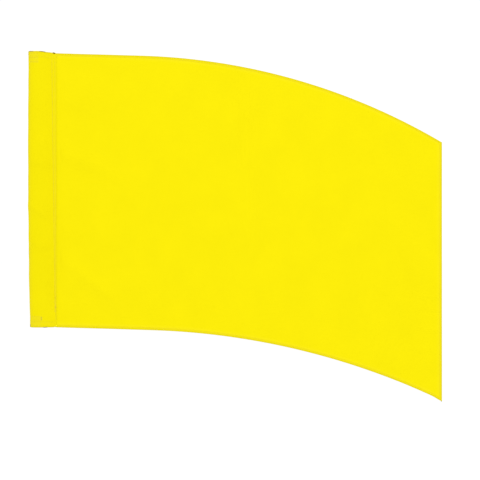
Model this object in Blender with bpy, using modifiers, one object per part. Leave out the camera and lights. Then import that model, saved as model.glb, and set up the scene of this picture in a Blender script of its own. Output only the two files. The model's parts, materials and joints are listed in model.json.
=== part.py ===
"""A curved hand flag: a cloth sleeve for a pole, and a fly that swings from it and folds in half.

Metres. +Z runs up along the pole, +X towards the fly end and -Y out of the flag's front.
The origin is on the pole's axis, at the sleeve's lower mouth.
"""

import math

import bmesh
import bpy
from mathutils import Vector

COLLECTION = "curved_swing_flag"

# Overall size: 54 in from the hoist fold to the fly end, and a 36 in hoist
LENGTH = 1.3716
HOIST = 0.9144

# Cloth, thread and the space that touching pieces keep
GAP = 0.0003
PLY = 0.0005
HEM_THICKNESS = 0.0012
TAB_THICKNESS = 0.0006
THREAD_RADIUS = 0.0002
SEAM_THREAD_RADIUS = 0.0003
THREAD_BEVEL_STEPS = 2
SHARP_DEGREES = 40

# The hoist fold bows a little away from the fly, most at this height
FOLD_X = -0.0325
FOLD_BOW = 0.0184
FOLD_BOW_Z = 0.6
FLY_X = FOLD_X + LENGTH

# Sleeve: two plies that stand open for the pole and meet at the slanting seam
SEAM_X_BOTTOM = 0.0564
SEAM_X_TOP = 0.0448
SECOND_ROW_X_BOTTOM = 0.0597
SECOND_ROW_X_TOP = 0.0556
SLEEVE_EDGE_X = 0.062
PANEL_EDGE_MARGIN = 0.0008
SLEEVE_SWELL = 0.0426
SEAM_PLY_Y = GAP + PLY
SLEEVE_SHOULDER_X = 0.010
SLEEVE_SHOULDER_DROP = 0.0056
SLEEVE_STEPS = 16
SLEEVE_ROWS = 14
MOUTH_HEM_STEPS = SLEEVE_STEPS - 2
MOUTH_ROW_STEPS = SLEEVE_STEPS - 1

# Ends of the sleeve
MOUTH_HEM = 0.019
MOUTH_ROW = 0.017
TAB_HEIGHT = 0.020
TAB_STEPS = (4, 11)
TAB_ROW_INSET = 0.003
SEAM_ROW_START = 0.052
SEAM_ROW_INSET = 0.0008
BACK_TACK = (0.061, 0.072)
ROW_END_MARGIN = 0.028
TACK_WIDTH = 0.0018
TACK_THICKNESS = 0.0006
BAR_TACK_Z = (0.0255, 0.0335)

# Curved edges: a straight run that slopes down, then an arc that leaves it smoothly
TOP_START_Z = 0.9103
TOP_SLOPE = 0.0284
TOP_ARC_X = 0.342
TOP_RADIUS = 2.078
BOTTOM_START_Z = 0.0017
BOTTOM_SLOPE = 0.030
BOTTOM_ARC_X = 0.375
BOTTOM_RADIUS = 2.411
EDGE_STEP = 0.020

# Hems of the fly
FLY_HEM = 0.010
FLY_ROW = 0.0075
END_ROW_MARGIN = 0.020

# Seam hinge and centre fold: how far each piece keeps from the joint's axis
SEAM_HINGE_X = 0.070
SEAM_CLOTH_CLEARANCE = 0.001
SEAM_HEM_CLEARANCE = 0.005
SEAM_ROW_CLEARANCE = 0.009
CENTRE_FOLD_X = (SEAM_HINGE_X + FLY_X) / 2
FOLD_CLOTH_CLEARANCE = 0.002
FOLD_HEM_CLEARANCE = 0.005
FOLD_ROW_CLEARANCE = 0.009

YELLOW = (0.965, 0.835, 0.010, 1.0)
SLEEVE_YELLOW = (0.940, 0.810, 0.012, 1.0)
HEM_YELLOW = (0.900, 0.730, 0.010, 1.0)
THREAD_PALE = (0.900, 0.820, 0.220, 1.0)
THREAD_DARK = (0.520, 0.430, 0.060, 1.0)
TAB_PALE = (0.930, 0.880, 0.300, 1.0)
CLOTH_ROUGHNESS = 0.85
THREAD_ROUGHNESS = 0.6


def clear_scene():
    for item in list(bpy.data.objects):
        bpy.data.objects.remove(item, do_unlink=True)


def make_material(name, colour, roughness):
    material = bpy.data.materials.new(name)
    material.use_nodes = True
    shader = material.node_tree.nodes["Principled BSDF"]
    shader.inputs["Base Color"].default_value = colour
    shader.inputs["Roughness"].default_value = roughness
    shader.inputs["Metallic"].default_value = 0.0
    return material


def smooth_mesh(mesh):
    mesh.shade_smooth()
    mesh.set_sharp_from_angle(angle=math.radians(SHARP_DEGREES))


def edge_height(x, start_z, slope, arc_x, radius):
    """Height at x of an edge that runs straight to arc_x and then along an arc."""
    if x <= arc_x:
        return start_z - slope * x
    angle = math.atan(slope)
    centre_x = arc_x - radius * math.sin(angle)
    centre_z = start_z - slope * arc_x - radius * math.cos(angle)
    return centre_z + math.sqrt(radius**2 - (x - centre_x) ** 2)


def top_height(x):
    return edge_height(x, TOP_START_Z, TOP_SLOPE, TOP_ARC_X, TOP_RADIUS)


def bottom_height(x):
    return edge_height(x, BOTTOM_START_Z, BOTTOM_SLOPE, BOTTOM_ARC_X, BOTTOM_RADIUS)


def blend_value(low, high, share):
    return low + (high - low) * share


def fold_x(z):
    return FOLD_X + FOLD_BOW * (z - FOLD_BOW_Z) ** 2


def seam_x(z):
    return blend_value(SEAM_X_BOTTOM, SEAM_X_TOP, z / HOIST)


def second_row_x(z):
    return blend_value(SECOND_ROW_X_BOTTOM, SECOND_ROW_X_TOP, z / HOIST)


def sleeve_top(x):
    """Height of the sleeve's upper edge, level over the tab and dropping to the panel."""
    run = SLEEVE_EDGE_X - SLEEVE_SHOULDER_X
    share = min(1.0, max(0.0, (x - SLEEVE_SHOULDER_X) / run))
    return HOIST - SLEEVE_SHOULDER_DROP * share


def sleeve_section(z, step, side, offset=0.0):
    """Point of the sleeve's section at height z.

    step counts from the hoist fold, 0, to the seam, SLEEVE_STEPS. side is -1 on the front ply
    and 1 on the back one. offset moves the point out of the tube, or into it when negative.
    """
    turn = step / SLEEVE_STEPS
    width = seam_x(z) - fold_x(z)
    x = fold_x(z) + width * turn**2
    y = turn * (SLEEVE_SWELL * (1 - turn**2) + SEAM_PLY_Y)
    along_x = 2 * width * turn
    along_y = SLEEVE_SWELL * (1 - 3 * turn**2) + SEAM_PLY_Y
    length = math.hypot(along_x, along_y)
    x -= offset * along_y / length
    y += offset * along_x / length
    return Vector((x, side * y, z))


def section_steps(first, last):
    """Steps from the front ply round the fold to the back ply, as (step, side) pairs."""
    front = [(step, -1) for step in range(first, 0, -1)]
    back = [(step, 1) for step in range(1, last + 1)]
    return front + [(0, 1)] + back


def add_mesh(collection, name, mesh, material):
    mesh.materials.append(material)
    item = bpy.data.objects.new(name, mesh)
    collection.objects.link(item)
    return item


def add_sheet(collection, name, columns, thickness, material):
    """Closed body of an open sheet, given as columns of points, with even thickness."""
    sheet = bmesh.new()
    rows = [[sheet.verts.new(point) for point in column] for column in columns]
    for left, right in zip(rows, rows[1:]):
        for low_left, high_left, low_right, high_right in zip(left, left[1:], right, right[1:]):
            sheet.faces.new((low_left, low_right, high_right, high_left))
    mesh = bpy.data.meshes.new(name)
    sheet.to_mesh(mesh)
    sheet.free()
    smooth_mesh(mesh)
    item = add_mesh(collection, name, mesh, material)
    shell = item.modifiers.new("Thickness", "SOLIDIFY")
    shell.thickness = thickness
    shell.offset = 0.0
    shell.use_even_offset = True
    return item


def add_flat(collection, name, outline, thickness, material, origin_x=0.0, y=0.0):
    """Plate in the flag's plane with the given (x, z) outline, its origin at origin_x."""
    curve = bpy.data.curves.new(name, "CURVE")
    curve.dimensions = "2D"
    curve.fill_mode = "BOTH"
    curve.extrude = thickness / 2
    spline = curve.splines.new("POLY")
    spline.points.add(len(outline) - 1)
    for point, (x, z) in zip(spline.points, outline):
        point.co = (x - origin_x, z, 0.0, 1.0)
    spline.use_cyclic_u = True
    curve.materials.append(material)
    item = bpy.data.objects.new(name, curve)
    item.location = (origin_x, y, 0.0)
    item.rotation_euler = (math.pi / 2, 0.0, 0.0)
    collection.objects.link(item)
    return item


def add_thread(collection, name, points, radius, material, origin_x=0.0, closed=False):
    """Row of stitches as one thread through the points, its origin at origin_x."""
    curve = bpy.data.curves.new(name, "CURVE")
    curve.dimensions = "3D"
    curve.bevel_depth = radius
    curve.bevel_resolution = THREAD_BEVEL_STEPS
    curve.use_fill_caps = True
    spline = curve.splines.new("POLY")
    spline.points.add(len(points) - 1)
    for knot, (x, y, z) in zip(spline.points, points):
        knot.co = (x - origin_x, y, z, 1.0)
    spline.use_cyclic_u = closed
    curve.materials.append(material)
    item = bpy.data.objects.new(name, curve)
    item.location = (origin_x, 0.0, 0.0)
    collection.objects.link(item)
    return item


def steps_between(first, last, longest):
    """Evenly spaced values from first to last, no further apart than longest."""
    count = max(1, math.ceil((last - first) / longest))
    return [first + (last - first) * i / count for i in range(count + 1)]


def band_outline(first, last, edge, inner, outer):
    """Outline of a band that follows an edge, between two distances from it."""
    stations = steps_between(first, last, EDGE_STEP)
    low = [(x, edge(x) + inner) for x in stations]
    high = [(x, edge(x) + outer) for x in reversed(stations)]
    return low + high


def make_sleeve(collection, cloth):
    columns = []
    steps = section_steps(SLEEVE_STEPS + 1, SLEEVE_STEPS + 1)
    for step, side in steps:
        column = []
        for row in range(SLEEVE_ROWS + 1):
            z = HOIST * row / SLEEVE_ROWS
            if step > SLEEVE_STEPS:
                point = Vector((SLEEVE_EDGE_X, side * SEAM_PLY_Y, z))
            else:
                point = sleeve_section(z, step, side)
            point.z = sleeve_top(point.x) * row / SLEEVE_ROWS
            column.append(point)
        columns.append(column)
    return add_sheet(collection, "pole_sleeve", columns, PLY, cloth)


def make_panel_edge(collection, cloth):
    end_x = SEAM_HINGE_X - SEAM_CLOTH_CLEARANCE
    low = bottom_height(end_x) + FLY_HEM
    high = top_height(end_x) - FLY_HEM
    outline = [
        (seam_x(low) + PANEL_EDGE_MARGIN, low),
        (end_x, low),
        (end_x, high),
        (seam_x(high) + PANEL_EDGE_MARGIN, high),
    ]
    return add_flat(collection, "panel_hoist_edge", outline, PLY, cloth)


def make_mouth_hem(collection, name, low, high, cloth):
    offset = -(PLY + GAP)
    columns = []
    for step, side in section_steps(MOUTH_HEM_STEPS, MOUTH_HEM_STEPS):
        columns.append([sleeve_section(z, step, side, offset) for z in (low, high)])
    return add_sheet(collection, name, columns, PLY, cloth)


def make_mouth_row(collection, name, z, thread):
    offset = PLY / 2 + GAP + THREAD_RADIUS
    steps = section_steps(MOUTH_ROW_STEPS, MOUTH_ROW_STEPS)
    points = [sleeve_section(z, step, side, offset) for step, side in steps]
    return add_thread(collection, name, points, THREAD_RADIUS, thread)


def make_grip_tab(collection, name, low, high, webbing):
    offset = -(PLY / 2 + GAP + TAB_THICKNESS / 2)
    first, last = TAB_STEPS
    columns = []
    for step in range(first, last + 1):
        columns.append([sleeve_section(z, step, -1, offset) for z in (low, high)])
    return add_sheet(collection, name, columns, TAB_THICKNESS, webbing)


def make_tab_row(collection, name, low, high, thread):
    """Box of stitches on the front ply, one step inside the tab's upright edges."""
    offset = PLY / 2 + GAP + THREAD_RADIUS
    first, last = TAB_STEPS
    steps = range(first + 1, last)
    low += TAB_ROW_INSET
    high -= TAB_ROW_INSET
    there = [sleeve_section(low, step, -1, offset) for step in steps]
    back = [sleeve_section(high, step, -1, offset) for step in reversed(steps)]
    return add_thread(collection, name, there + back, THREAD_RADIUS, thread, closed=True)


def make_tack(collection, name, x, low, high, y, thread):
    outline = [
        (x - TACK_WIDTH / 2, low),
        (x + TACK_WIDTH / 2, low),
        (x + TACK_WIDTH / 2, high),
        (x - TACK_WIDTH / 2, high),
    ]
    return add_flat(collection, name, outline, TACK_THICKNESS, thread, y=y)


def make_sleeve_ends(collection, cloth, webbing, thread):
    tab_near = MOUTH_HEM + GAP
    tab_far = tab_near + TAB_HEIGHT
    top = HOIST - SLEEVE_SHOULDER_DROP
    ends = {
        "bottom": (0.0, MOUTH_HEM, tab_near, tab_far, MOUTH_ROW),
        "top": (top - MOUTH_HEM, top, top - tab_far, top - tab_near, top - MOUTH_ROW),
    }
    for end, (hem_low, hem_high, tab_low, tab_high, row_z) in ends.items():
        make_mouth_hem(collection, f"{end}_mouth_hem", hem_low, hem_high, cloth)
        make_mouth_row(collection, f"{end}_mouth_stitching", row_z, thread)
        make_grip_tab(collection, f"{end}_grip_tab", tab_low, tab_high, webbing)
        make_tab_row(collection, f"{end}_tab_stitching", tab_low, tab_high, thread)


def make_seam_rows(collection, thread):
    """The two rows that close the sleeve, and the tack beside the lower end of the strong one."""
    surface = -(SEAM_PLY_Y + PLY / 2 + GAP)
    high = HOIST - ROW_END_MARGIN
    strong = surface - SEAM_THREAD_RADIUS
    row = [(seam_x(z) + SEAM_ROW_INSET, strong, z) for z in (SEAM_ROW_START, high)]
    add_thread(collection, "seam_stitching", row, SEAM_THREAD_RADIUS, thread)
    fine = surface - THREAD_RADIUS
    row = [(second_row_x(z), fine, z) for z in (ROW_END_MARGIN, high)]
    add_thread(collection, "seam_edge_stitching", row, THREAD_RADIUS, thread)
    low, high = BACK_TACK
    tack_y = surface - TACK_THICKNESS / 2
    tack_x = seam_x(low) + SEAM_ROW_INSET + SEAM_THREAD_RADIUS + GAP + TACK_WIDTH / 2
    make_tack(collection, "seam_back_tack", tack_x, low, high, tack_y, thread)


def make_bar_tack(collection, thread):
    """Short thick tack on the swell of the front ply, beside the lower tab."""
    offset = PLY / 2 + GAP + SEAM_THREAD_RADIUS
    step = TAB_STEPS[1]
    points = [sleeve_section(z, step, -1, offset) for z in BAR_TACK_Z]
    return add_thread(collection, "tab_bar_tack", points, SEAM_THREAD_RADIUS, thread)


def make_fly_half(collection, name, first, last, clearances, origin_x, materials):
    """Cloth, hems and stitch rows of one half of the fly, between two upright lines.

    clearances gives the cloth's, hems' and rows' distances from each line, as pairs.
    """
    cloth_room, hem_room, row_room = clearances
    inside = FLY_HEM + GAP
    start = first + cloth_room[0]
    end = last - cloth_room[1]
    stations = steps_between(start, end, EDGE_STEP)
    low = [(x, bottom_height(x) + inside) for x in stations]
    high = [(x, top_height(x) - inside) for x in reversed(stations)]
    cloth, hem, thread = materials
    add_flat(collection, f"{name}_fly_cloth", low + high, PLY, cloth, origin_x)
    hem_start = first + hem_room[0]
    hem_end = last - hem_room[1]
    row_start = first + row_room[0]
    row_end = last - row_room[1]
    row_y = -(HEM_THICKNESS / 2 + GAP + THREAD_RADIUS)
    for edge_name, edge, inward in (("top", top_height, -1), ("bottom", bottom_height, 1)):
        outline = band_outline(hem_start, hem_end, edge, 0.0, inward * FLY_HEM)
        add_flat(collection, f"{name}_{edge_name}_hem", outline, HEM_THICKNESS, hem, origin_x)
        stations = steps_between(row_start, row_end, EDGE_STEP)
        row = [(x, row_y, edge(x) + inward * FLY_ROW) for x in stations]
        add_thread(
            collection, f"{name}_{edge_name}_stitching", row, THREAD_RADIUS, thread, origin_x
        )


def make_fly_end(collection, hem, thread):
    inside = FLY_HEM + GAP
    start = FLY_X - FLY_HEM
    outline = [
        (start, bottom_height(start) + inside),
        (FLY_X, bottom_height(FLY_X) + inside),
        (FLY_X, top_height(FLY_X) - inside),
        (start, top_height(start) - inside),
    ]
    add_flat(collection, "fly_end_hem", outline, HEM_THICKNESS, hem, CENTRE_FOLD_X)
    row_x = FLY_X - FLY_ROW
    row_y = -(HEM_THICKNESS / 2 + GAP + THREAD_RADIUS)
    low = bottom_height(row_x) + END_ROW_MARGIN
    high = top_height(row_x) - END_ROW_MARGIN
    row = [(row_x, row_y, z) for z in (low, high)]
    add_thread(collection, "fly_end_stitching", row, THREAD_RADIUS, thread, CENTRE_FOLD_X)


def main():
    clear_scene()
    collection = bpy.data.collections.new(COLLECTION)
    bpy.context.scene.collection.children.link(collection)
    cloth = make_material("fly_cloth", YELLOW, CLOTH_ROUGHNESS)
    sleeve_cloth = make_material("sleeve_cloth", SLEEVE_YELLOW, CLOTH_ROUGHNESS)
    hem = make_material("hem_cloth", HEM_YELLOW, CLOTH_ROUGHNESS)
    thread = make_material("pale_thread", THREAD_PALE, THREAD_ROUGHNESS)
    dark_thread = make_material("dark_thread", THREAD_DARK, THREAD_ROUGHNESS)
    webbing = make_material("tab_webbing", TAB_PALE, CLOTH_ROUGHNESS)

    make_sleeve(collection, sleeve_cloth)
    make_panel_edge(collection, cloth)
    make_sleeve_ends(collection, hem, webbing, thread)
    make_seam_rows(collection, thread)
    make_bar_tack(collection, dark_thread)

    materials = (cloth, hem, thread)
    inner_room = (
        (SEAM_CLOTH_CLEARANCE, FOLD_CLOTH_CLEARANCE),
        (SEAM_HEM_CLEARANCE, FOLD_HEM_CLEARANCE),
        (SEAM_ROW_CLEARANCE, FOLD_ROW_CLEARANCE),
    )
    make_fly_half(
        collection, "inner", SEAM_HINGE_X, CENTRE_FOLD_X, inner_room, SEAM_HINGE_X, materials
    )
    outer_room = (
        (FOLD_CLOTH_CLEARANCE, FLY_HEM + GAP),
        (FOLD_HEM_CLEARANCE, 0.0),
        (FOLD_ROW_CLEARANCE, FLY_ROW),
    )
    make_fly_half(
        collection, "outer", CENTRE_FOLD_X, FLY_X, outer_room, CENTRE_FOLD_X, materials
    )
    make_fly_end(collection, hem, thread)


main()
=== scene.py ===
"""Looks of the curved swing flag: its cloth, hems and stitches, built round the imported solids.

Metres, in the flag's own frame: +X from the sleeve towards the fly end, +Z up along the pole and -Y
out of the flag's front. Two surfaces are worked out first, the fly's and the sleeve's. Every ply,
hem, tab and stitch is then laid on one of them, at its own depth.
"""

import json
import math

import bpy
import numpy as np
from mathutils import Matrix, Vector


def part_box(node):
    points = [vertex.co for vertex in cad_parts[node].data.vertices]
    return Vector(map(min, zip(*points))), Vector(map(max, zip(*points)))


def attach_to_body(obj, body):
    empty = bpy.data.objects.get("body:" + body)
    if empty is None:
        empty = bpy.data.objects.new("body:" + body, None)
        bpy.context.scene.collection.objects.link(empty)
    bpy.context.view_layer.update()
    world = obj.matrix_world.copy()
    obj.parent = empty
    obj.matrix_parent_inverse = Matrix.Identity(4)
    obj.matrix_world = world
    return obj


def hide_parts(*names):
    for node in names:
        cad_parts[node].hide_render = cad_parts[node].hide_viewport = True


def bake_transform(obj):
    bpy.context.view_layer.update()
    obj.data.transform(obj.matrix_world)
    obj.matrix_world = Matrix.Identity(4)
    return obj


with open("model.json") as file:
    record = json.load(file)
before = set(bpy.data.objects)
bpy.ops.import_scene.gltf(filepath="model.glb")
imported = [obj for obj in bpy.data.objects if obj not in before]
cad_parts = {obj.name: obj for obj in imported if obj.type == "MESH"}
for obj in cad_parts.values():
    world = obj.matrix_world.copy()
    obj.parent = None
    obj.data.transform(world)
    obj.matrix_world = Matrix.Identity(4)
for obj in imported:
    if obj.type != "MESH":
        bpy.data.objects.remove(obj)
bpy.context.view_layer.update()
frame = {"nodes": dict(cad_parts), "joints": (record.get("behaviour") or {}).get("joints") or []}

# Sizes read from the frame
JOINT_X = {joint["name"]: joint["pos_m"][0] for joint in frame["joints"]}
SEAM_HINGE_X = JOINT_X["seam_swing"]
FOLD_HINGE_X = JOINT_X["centre_fold"]
SLEEVE_LOW, SLEEVE_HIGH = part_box("pole_sleeve")
END_LOW, END_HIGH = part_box("fly_end_hem")
END_ROW_LOW, END_ROW_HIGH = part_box("fly_end_stitching")
HOIST = SLEEVE_HIGH.z
SLEEVE_EDGE_X = SLEEVE_HIGH.x
FLY_X = END_HIGH.x
HEM = END_HIGH.x - END_LOW.x
HEM_ROW = END_HIGH.x - (END_ROW_LOW.x + END_ROW_HIGH.x) / 2
MOUTH_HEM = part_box("bottom_mouth_hem")[1].z
MOUTH_ROW = sum(corner.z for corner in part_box("bottom_mouth_stitching")) / 2
MOUTH_LINE = MOUTH_HEM + 0.0015
STATION_DIGITS = 4

# Cloth and its hems, with the painted shade of a hem's outer rim at shares of the hem's width
PLY = 0.0004
HEM_DEPTH = 0.0012
MOUTH_HEM_DEPTH = 0.0009
LIP = 0.0006
LIP_PARTS = 6
HEM_RIM_SHADES = ((0.15, 0.8), (0.35, 0.3), (0.6, 0.0), (0.85, 0.0))
HEM_FRONT_SHARES = (0.7, 0.35)
HEM_EDGE_SHARE = 0.7
PLY_CLEARANCE = 0.00005
EDGE_ROUNDING = 0.0001

# Stitches; FATNESS is a share of the thread's radius, at each of the MARKS along one stitch
THREAD_RADIUS = 0.00026
SEAM_THREAD_RADIUS = 0.00034
THREAD_SIDES = 6
THREAD_ANGLES = 2 * math.pi * np.arange(THREAD_SIDES) / THREAD_SIDES
ON_FRONT = -PLY / 2
STITCH_PITCH = 0.0032
STITCH_GAP = 0.0006
STITCH_GAP_RANGE = (0.7, 1.3)
STITCH_MARKS = np.array([0.0, 0.1, 0.3, 0.5, 0.7, 0.9, 1.0])
STITCH_FATNESS = np.array([0.35, 0.8, 1.0, 1.05, 1.0, 0.8, 0.35])
STITCH_ARCH = (1.5, 0.9)
STITCH_WANDER = 0.25

# Scallops that a stitch row pulls: (share, wavelength, seed's weight, swing, swing's wavelength)
PUCKERS = ((0.6, 0.0021, 1, 1.7, 0.019), (0.4, 0.0053, 2, 1.3, 0.047))
FLY_PUCKER = 0.00014
FLY_PUCKER_WIDTH = 0.006
SEAM_PUCKER = 0.00018
SEAM_PUCKER_TURNS = (0.94, 0.05)

# Sleeve: how its fold bows, where its plies lie at the seam, and its two mouths
FOLD_BOW = 0.0184
FOLD_BOW_Z = 0.6
SEAM_PLY_Y = 0.0007
SEAM_INSET = 0.0008
SWELL_PEAK = 2 / (3 * math.sqrt(3))
ALLOWANCE_TURN = 0.12
SHOULDERS = ((0.010, 0.036, 0.0030), (0.054, 0.062, 0.0026))
CORNER_LIFT = 0.0016
CORNER_TURN = 0.16
MOUTH_TURN = 0.975
MOUTH_STATIONS = 90
SLEEVE_CALM = (0.80, 0.99)
SLEEVE_CELL = 0.004
SLEEVE_COLUMNS = (34, 8)
SLEEVE_ROWS = (0.0006, 0.002, 0.005, 0.009, 0.013, 0.0165, 0.0185, 0.0205, 0.0225, 0.025)
SLEEVE_ROW_GAP = 0.003
SECTION_STEPS = 400

# Steps in x and z or in turn and z over which the slopes of the two surfaces are measured
FLY_PROBE = 0.0008
SLEEVE_PROBES = (0.003, 0.001)
SECTION_PROBE = 0.004

# Grip tabs, and the rows that hold them, as distances in from the rim
TAB_TURNS = (0.28, 0.68)
TAB_FADES = (0.03, 0.02)
TAB_END_FADE = 0.002
TAB_SWELL = 0.0004
TAB_GAP = 0.0005
TAB_DEPTH = 0.0006
TAB_THICKNESS = 0.0010
TAB_STEPS = 12
TAB_ROWS = (0.0075, 0.0225, 0.0365)
TAB_ROW_INSET = 0.02
TAB_ROW_STEPS = 14

# Where the fly's cloth is parted, well away from both hinges. BENDS are (parent body, child body, x of
# the hinge, half width of the bend)
FLY_START_X = 0.0585
PARTING_X = (SEAM_HINGE_X + FOLD_HINGE_X) / 2
BENDS = {
    "inner": ("sleeve", "inner_fly", SEAM_HINGE_X, 0.007),
    "outer": ("inner_fly", "outer_fly", FOLD_HINGE_X, 0.015),
}
PANEL_NODES = {
    "inner": ("panel_hoist_edge", "inner_fly_cloth"),
    "outer": ("outer_fly_cloth", "inner_fly_cloth"),
}
HEM_START_X = SLEEVE_EDGE_X + 0.0003
ROW_START_X = SLEEVE_EDGE_X + 0.001
ROW_STOP = 0.004
END_TUCK = 0.0005
END_THINNING = 0.0001
CORNER_SAG = 0.0032
CORNER_SAG_RUN = 0.040
SEAM_CALM = (0.004, 0.11)
SEAM_FADE = (0.012, 0.02)
FOLD_CALM = 0.75
FOLD_CALM_WIDTH = 0.04

# Colours, linear. A cloth has its own, and then one for each of CLOTH_TONES: painted shade over hidden
# plies, where stacked plies let less light through from behind; a streak tone, which is painted shade
# over the grip tabs, painted light along the sleeve's pressed fold and a paler streak inside the fly's
# hems; and painted shade at its outer rims. The sleeve's and the hems' own colours are the fly's cloth
# painted deeper, as painted shade of their stacked plies. Thread and tape have a light and a dark one
SPARK = (1.0, 0.86, 0.04)
CLOTH_TONES = ("plies", "worn", "rim")
CLOTH_COLOURS = {
    "fly_cloth": (
        (0.799, 0.690, 0.0023), (0.756, 0.640, 0.0068), (0.813, 0.704, 0.0090), (0.645, 0.549, 0.0050)
    ),
    "sleeve_cloth": (
        (0.773, 0.666, 0.0020), (0.745, 0.631, 0.0080), (0.739, 0.625, 0.0140), (0.639, 0.534, 0.0080)
    ),
    "hem_cloth": (
        (0.748, 0.631, 0.0035), (0.743, 0.629, 0.0080), (0.758, 0.640, 0.0100), (0.630, 0.532, 0.0060)
    ),
}
THREAD_COLOURS = {
    "pale_thread": ((0.80, 0.66, 0.040), (0.70, 0.55, 0.020)),
    "seam_thread": ((0.69, 0.53, 0.110), (0.57, 0.42, 0.060)),
    "dark_thread": ((0.62, 0.49, 0.090), (0.50, 0.38, 0.050)),
    "loose_thread": ((0.17, 0.075, 0.045), (0.08, 0.030, 0.022)),
}
WEBBING_COLOURS = ((0.80, 0.70, 0.16), (0.66, 0.55, 0.08))

# Where those tones show on the cloth, from its rim, a hem's inner edge, the seam or the hoist fold.
# A fade is (share, full as far as, gone from), and a streak is (middle, half width, share)
# Painted shade along the outer rims, standing in for the cloth's edge turning away from the light
RIM_SHADE_FADES = ((0.65, 0.0014, 0.0034), (0.25, 0.004, 0.0065))
# Painted shade where hidden plies lie behind the cloth: over the fly's hems, the mouth hems and the seam
# allowance
FLY_PLY_SHADE = (0.9, -0.0012, 0.0008)
MOUTH_PLY_SHADE = (0.3, -0.001, 0.001)
ALLOWANCE_PLY_SHADE = (0.15, 0.0008, 0.0024)
# A paler streak just inside the fly's hems
FLY_STREAK = (0.002, 0.003, 0.5)
# Painted light along the sleeve's pressed hoist fold
FOLD_LIGHT_STREAK = (0.006, 0.003, 0.35)
# Painted shade line where the mouth hem's ply ends and the cloth steps down
MOUTH_SHADE_STREAK = (MOUTH_LINE, 0.0013, 0.3)
# Painted shade over the grip tabs, which stack behind the sleeve's front ply
TAB_SHADE_SHARE = 0.5
# The hoist fold takes painted rim shade too, as if it were a rim this far off
FOLD_RIM_SHADE_START = 0.0012

# Shares of the yarns, the clouds and the weave in the cloth's tone, and their sizes along the cloth.
# The weave's share is painted shade: its crossings are painted darker as shade of the yarns' relief.
# WAVE_RATE turns the wave texture's scale into bands
WAVE_RATE = 20
TONE_SHARES = (0.40, 0.33, 0.27)
TONE_RANGE = (0.93, 1.07)
YARN_SIZES = ((0.0009, 0.030), (0.040, 0.0008))
CLOUD_SIZES = (0.09, 0.11)
WEAVE_PITCH = 0.0006

# Patterns of thread and tape, with the shares of the pattern and of its grain in their tone
PATTERN_SHARES = (0.6, 0.4)
TWIST_PITCH = 0.0005
TWIST_DEGREES = 35
DYE_SIZES = (0.004, 0.004)
RIB_PITCH = 0.0014
RIB_GRAIN_SIZES = (0.0005, 0.003)

# Grid of the fly's cloth
CELL = 0.005
FINE_CELL = 0.0015
EDGE_ROWS = (0.0006, 0.002, 0.004, 0.006, 0.0075, 0.009, 0.0108, 0.0135)
STRIP_STEP = 0.003

# Cloth simulation of the fly, and what is kept of it; SIM_PINS are how firmly its edges are held
SIM_CELL = 0.012
SIM_FRAMES = 26
SIM_GRAVITY = 0.08
SIM_SEED = 7
SIM_START = 0.0012
SIM_WAVES = (0.5, 0.1)
SIM_PINS = {"end": 0.5, "top": 0.9, "hoist": 1.0}
SIM_CLOTH = {
    "quality": 5,
    "mass": 0.05,
    "tension_stiffness": 15,
    "compression_stiffness": 15,
    "shear_stiffness": 5,
    "bending_stiffness": 0.8,
    "tension_damping": 5,
    "compression_damping": 5,
    "shear_damping": 5,
    "bending_damping": 0.5,
    "air_damping": 1.0,
    "vertex_group_mass": "pins",
    "shrink_min": -0.005,
}
RELIEF_CELL = 0.003
DRAPE_BLUR = 4
DRAPE_SHARE = 0.42
DRAPE_CAP = 0.006

# Soft creases, as (start x, start z, end x, end z, half width, height)
FLY_CREASES = (
    (0.643, 0.860, 0.662, 0.520, 0.012, -0.0009),
    (0.668, 0.880, 0.684, 0.480, 0.011, 0.0008),
    (0.704, 0.890, 0.694, 0.560, 0.010, -0.0009),
    (0.712, 0.760, 0.702, 0.330, 0.010, 0.0009),
    (0.716, 0.400, 0.762, 0.250, 0.012, -0.0009),
    (0.062, 0.586, 0.272, 0.500, 0.026, 0.0056),
    (0.072, 0.238, 0.250, 0.094, 0.026, 0.0060),
    (0.070, 0.762, 0.200, 0.700, 0.016, 0.0014),
    (0.070, 0.330, 0.150, 0.318, 0.012, 0.0010),
    (0.922, 0.060, 0.980, -0.075, 0.010, 0.0010),
    (1.142, 0.040, 1.116, -0.120, 0.010, -0.0011),
    (1.190, -0.060, 1.330, -0.080, 0.011, 0.0014),
    (1.205, -0.160, 1.262, -0.100, 0.010, -0.0014),
    (1.250, 0.108, 1.338, 0.098, 0.009, 0.0017),
    (1.262, 0.054, 1.338, 0.045, 0.008, -0.0015),
    (1.250, 0.000, 1.338, -0.012, 0.009, 0.0016),
    (0.420, 0.700, 0.470, 0.340, 0.024, 0.0010),
    (0.900, 0.640, 0.960, 0.300, 0.026, -0.0010),
    (1.120, 0.500, 1.160, 0.240, 0.022, 0.0009),
)
SLEEVE_CREASES = (
    (-0.024, 0.552, 0.050, 0.533, 0.013, 0.0038),
    (-0.026, 0.404, 0.046, 0.362, 0.012, 0.0045),
    (-0.012, 0.274, 0.052, 0.264, 0.012, 0.0040),
    (-0.022, 0.730, 0.044, 0.748, 0.013, 0.0015),
    (-0.020, 0.650, 0.040, 0.620, 0.012, -0.0013),
    (-0.018, 0.130, 0.050, 0.150, 0.012, 0.0014),
    (0.014, 0.893, 0.048, 0.9065, 0.004, -0.0007),
)

# How much lower the creases are on the sleeve's back ply, and the slow slack of both plies
BACK_CREASE_SHIFT = 0.045
SLEEVE_SLACK = 0.0018
SLACK_WAVES = (0.34, 0.09)
SLACK_STRETCH = 1.6
SLACK_SHIFT = 3

# Where the lower mouth's row of stitches, which runs on over the fly, ends
RUN_ON_END = 0.0835

# Lower ends of the seam's two rows, and how far both keep from the sleeve's upper end
SEAM_ROW_START = 0.050
SEAM_EDGE_ROW_START = 0.022
SEAM_ROW_MARGIN = 0.026
SEAM_STEP = 0.01

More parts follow.
